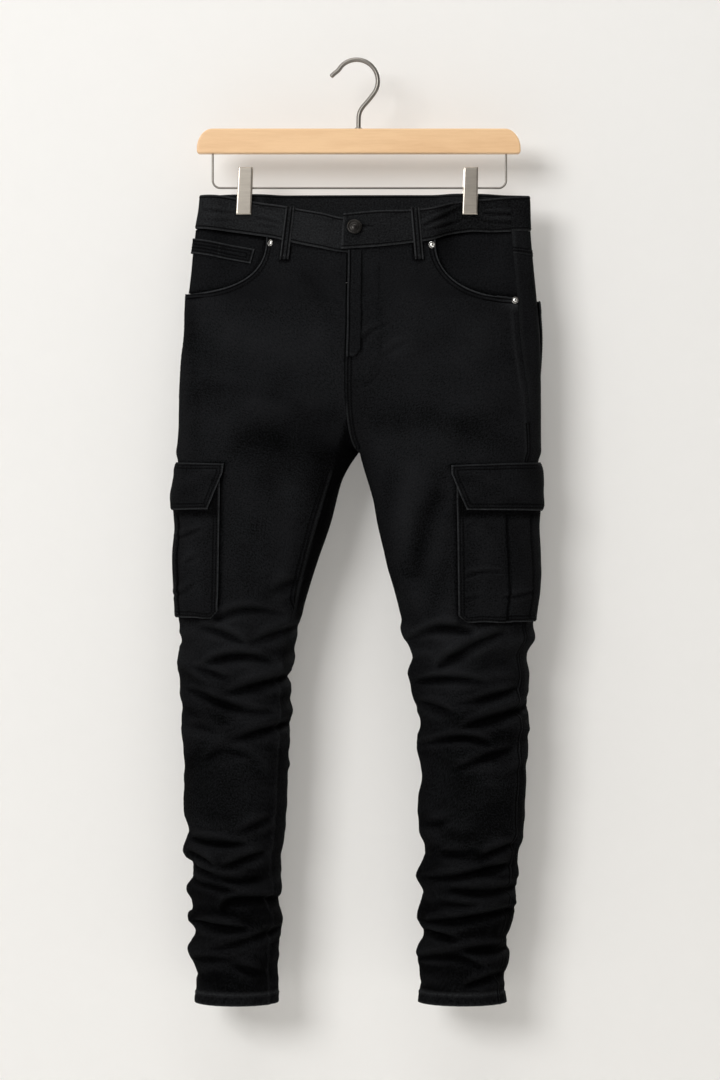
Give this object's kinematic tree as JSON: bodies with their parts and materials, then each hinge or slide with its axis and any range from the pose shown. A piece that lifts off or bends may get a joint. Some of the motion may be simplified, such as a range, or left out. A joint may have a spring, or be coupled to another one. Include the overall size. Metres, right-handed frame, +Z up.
{
  "type": "skinny cargo jeans on a clip hanger",
  "caption": "Slim trousers with flapped thigh pockets, scooped front pockets and gathered lower legs, held flat by the waist on a wooden clip hanger.",
  "frame": {"origin": "inside of the hanger hook's crown, where it hangs on a rail", "axes": "+Z up, the front of the jeans faces -Y, the wearer's left is +X"},
  "size_m": [0.4473, 0.1217, 1.1326],
  "materials": {
    "denim": "washed black stretch denim, matte",
    "button": "dark antique",
    "rivet": "polished",
    "wood": "clear satin varnish",
    "hanger_steel": "brushed"
  },
  "bodies": {
    "root": {"front_right": "denim", "front_left": "denim", "back_right": "denim", "back_left": "denim", "yoke_right": "denim", "yoke_left": "denim", "facing_right": "denim", "facing_left": "denim", "coin_pocket": "denim", "band_front_right": "denim", "band_front_left": "denim", "band_back": "denim", "loop_front_right": "denim", "loop_front_left": "denim", "loop_side_right": "denim", "loop_side_left": "denim", "loop_back": "denim", "fly_placket": "denim", "cargo_right": "denim", "cargo_left": "denim", "flap_right": "denim", "flap_left": "denim", "back_pocket_right": "denim", "back_pocket_left": "denim", "button": "button", "rivet_1": "rivet", "rivet_2": "rivet", "rivet_3": "rivet", "rivet_4": "rivet", "hanger_bar": "wood", "hanger_hook": "hanger_steel", "hanger_wire": "hanger_steel", "clip_front_right": "hanger_steel", "clip_back_right": "hanger_steel", "clip_roll_right": "hanger_steel", "clip_front_left": "hanger_steel", "clip_back_left": "hanger_steel", "clip_roll_left": "hanger_steel"}
  },
  "joints": []
}
